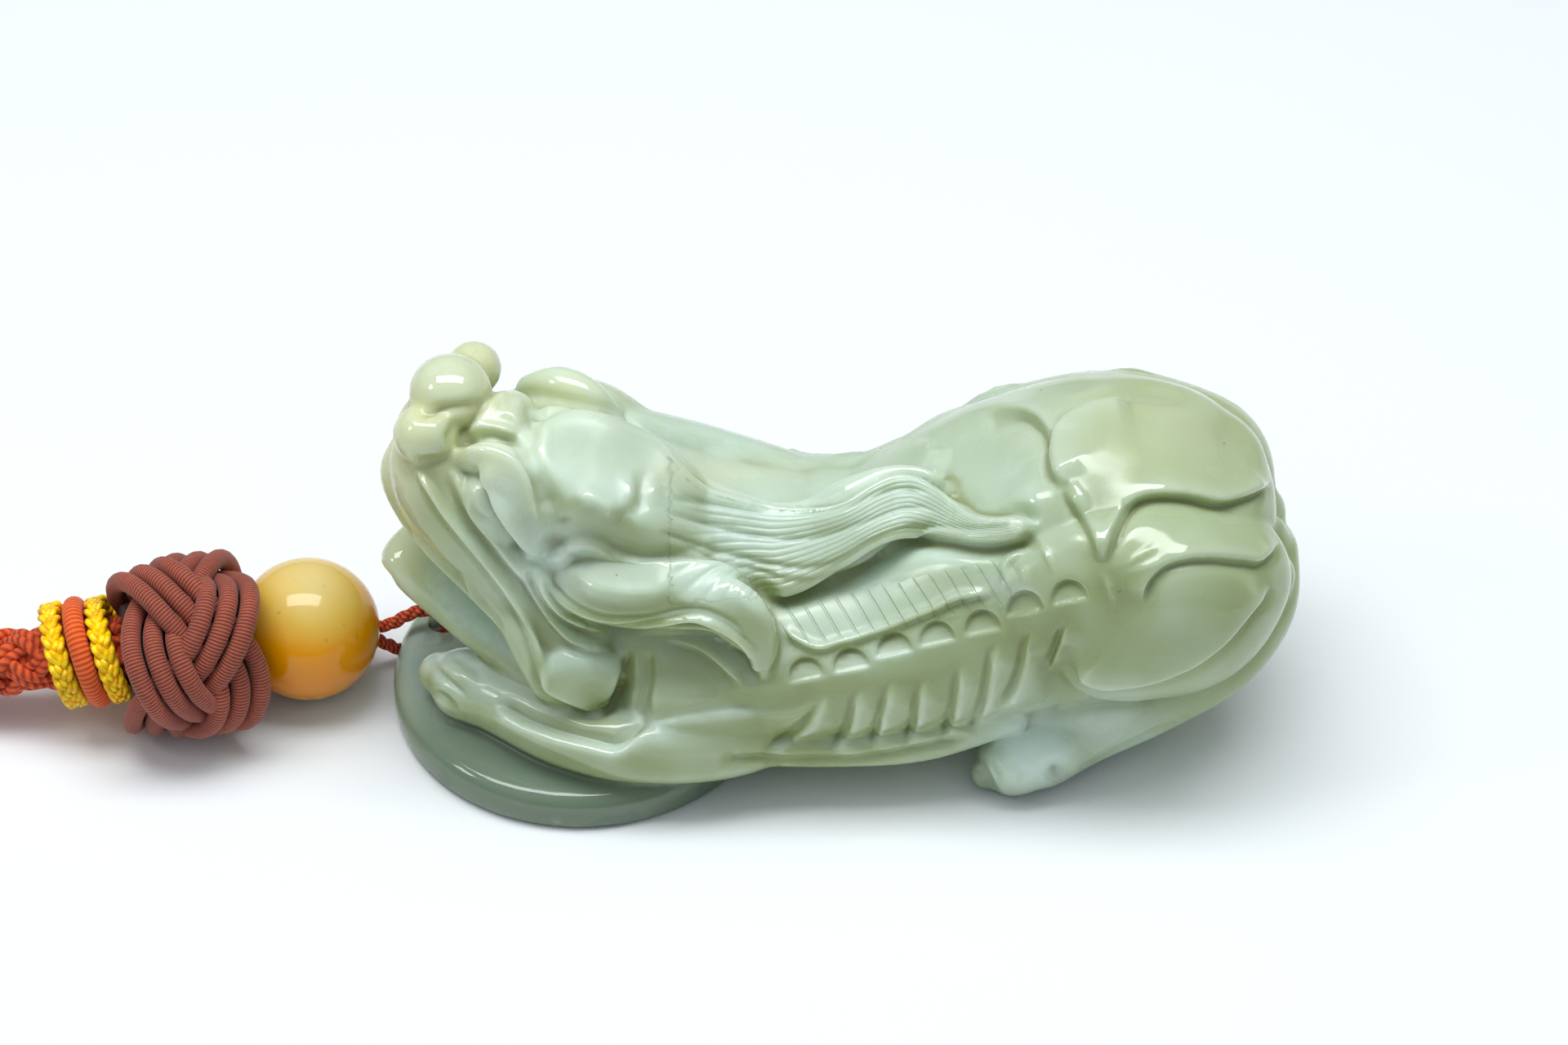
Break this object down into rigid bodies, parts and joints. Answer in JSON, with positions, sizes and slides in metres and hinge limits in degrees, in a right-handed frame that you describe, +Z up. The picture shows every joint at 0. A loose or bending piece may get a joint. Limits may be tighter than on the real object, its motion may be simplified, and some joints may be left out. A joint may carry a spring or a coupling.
{
  "type": "jade pendant",
  "caption": "Carved jade beast pendant lying on its coin, with a ball bead, a woven knot, thread rings and a braided hanging loop",
  "frame": {"origin": "middle of the stone's box in plan, at the height of the surface it lies on", "axes": "+X points from the snout to the rump, so the cord leaves to -X; -Y is the side that the picture shows; +Z is up"},
  "size_m": [0.1391, 0.0294, 0.0319],
  "materials": {
    "jade": "polished, slightly translucent pale green",
    "amber_bead": "polished yellow-orange",
    "brown_red_thread": "thread-wrapped cord",
    "gold_thread": "braided gold thread with a metallic glint",
    "red_thread": "brick-red thread",
    "red_braid": "round brick-red braid"
  },
  "bodies": {
    "root": {"jade_figure": "jade", "bead": "amber_bead", "knot": "brown_red_thread", "gold_wrap_1": "gold_thread", "red_wrap": "red_thread", "gold_wrap_2": "gold_thread", "suspension_cord": "red_thread", "braided_cord": "red_braid", "loop_wrap": "red_thread"}
  },
  "joints": []
}
